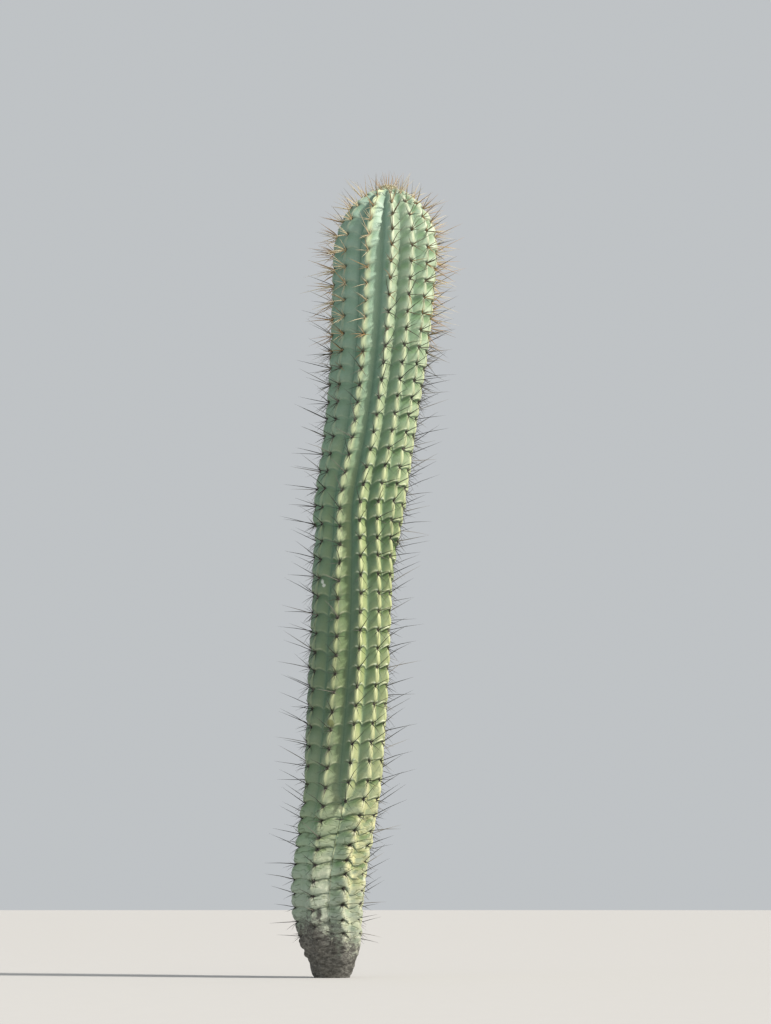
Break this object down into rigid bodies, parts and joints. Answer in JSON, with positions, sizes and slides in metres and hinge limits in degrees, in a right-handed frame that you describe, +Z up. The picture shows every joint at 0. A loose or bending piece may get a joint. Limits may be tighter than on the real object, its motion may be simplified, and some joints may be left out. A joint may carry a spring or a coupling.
{
  "type": "cardon cactus",
  "caption": "Leaning columnar cactus with low ribs, areoles and long spines in rows, a domed woolly crown and a narrow corky foot cut flat at the ground.",
  "frame": {"origin": "centre of the flat cut under the stem, at ground level", "axes": "+Z up along the stem from the ground to the crown, -Y towards the viewer of the picture's side, +X to that viewer's right"},
  "size_m": [0.3226, 0.2666, 1.2931],
  "materials": {
    "stem_skin": "waxy green skin, satin",
    "spine_rows": "matt horn brown spines",
    "crown_wool": "matt pale wool"
  },
  "bodies": {
    "root": {"trunk": "stem_skin", "rib_crest_01": "spine_rows", "rib_crest_02": "spine_rows", "rib_crest_03": "spine_rows", "rib_crest_04": "spine_rows", "rib_crest_05": "spine_rows", "rib_crest_06": "spine_rows", "rib_crest_07": "spine_rows", "rib_crest_08": "spine_rows", "rib_crest_09": "spine_rows", "rib_crest_10": "spine_rows", "rib_crest_11": "spine_rows", "rib_crest_12": "spine_rows", "rib_crest_13": "spine_rows", "crown_tuft": "crown_wool"}
  },
  "joints": []
}
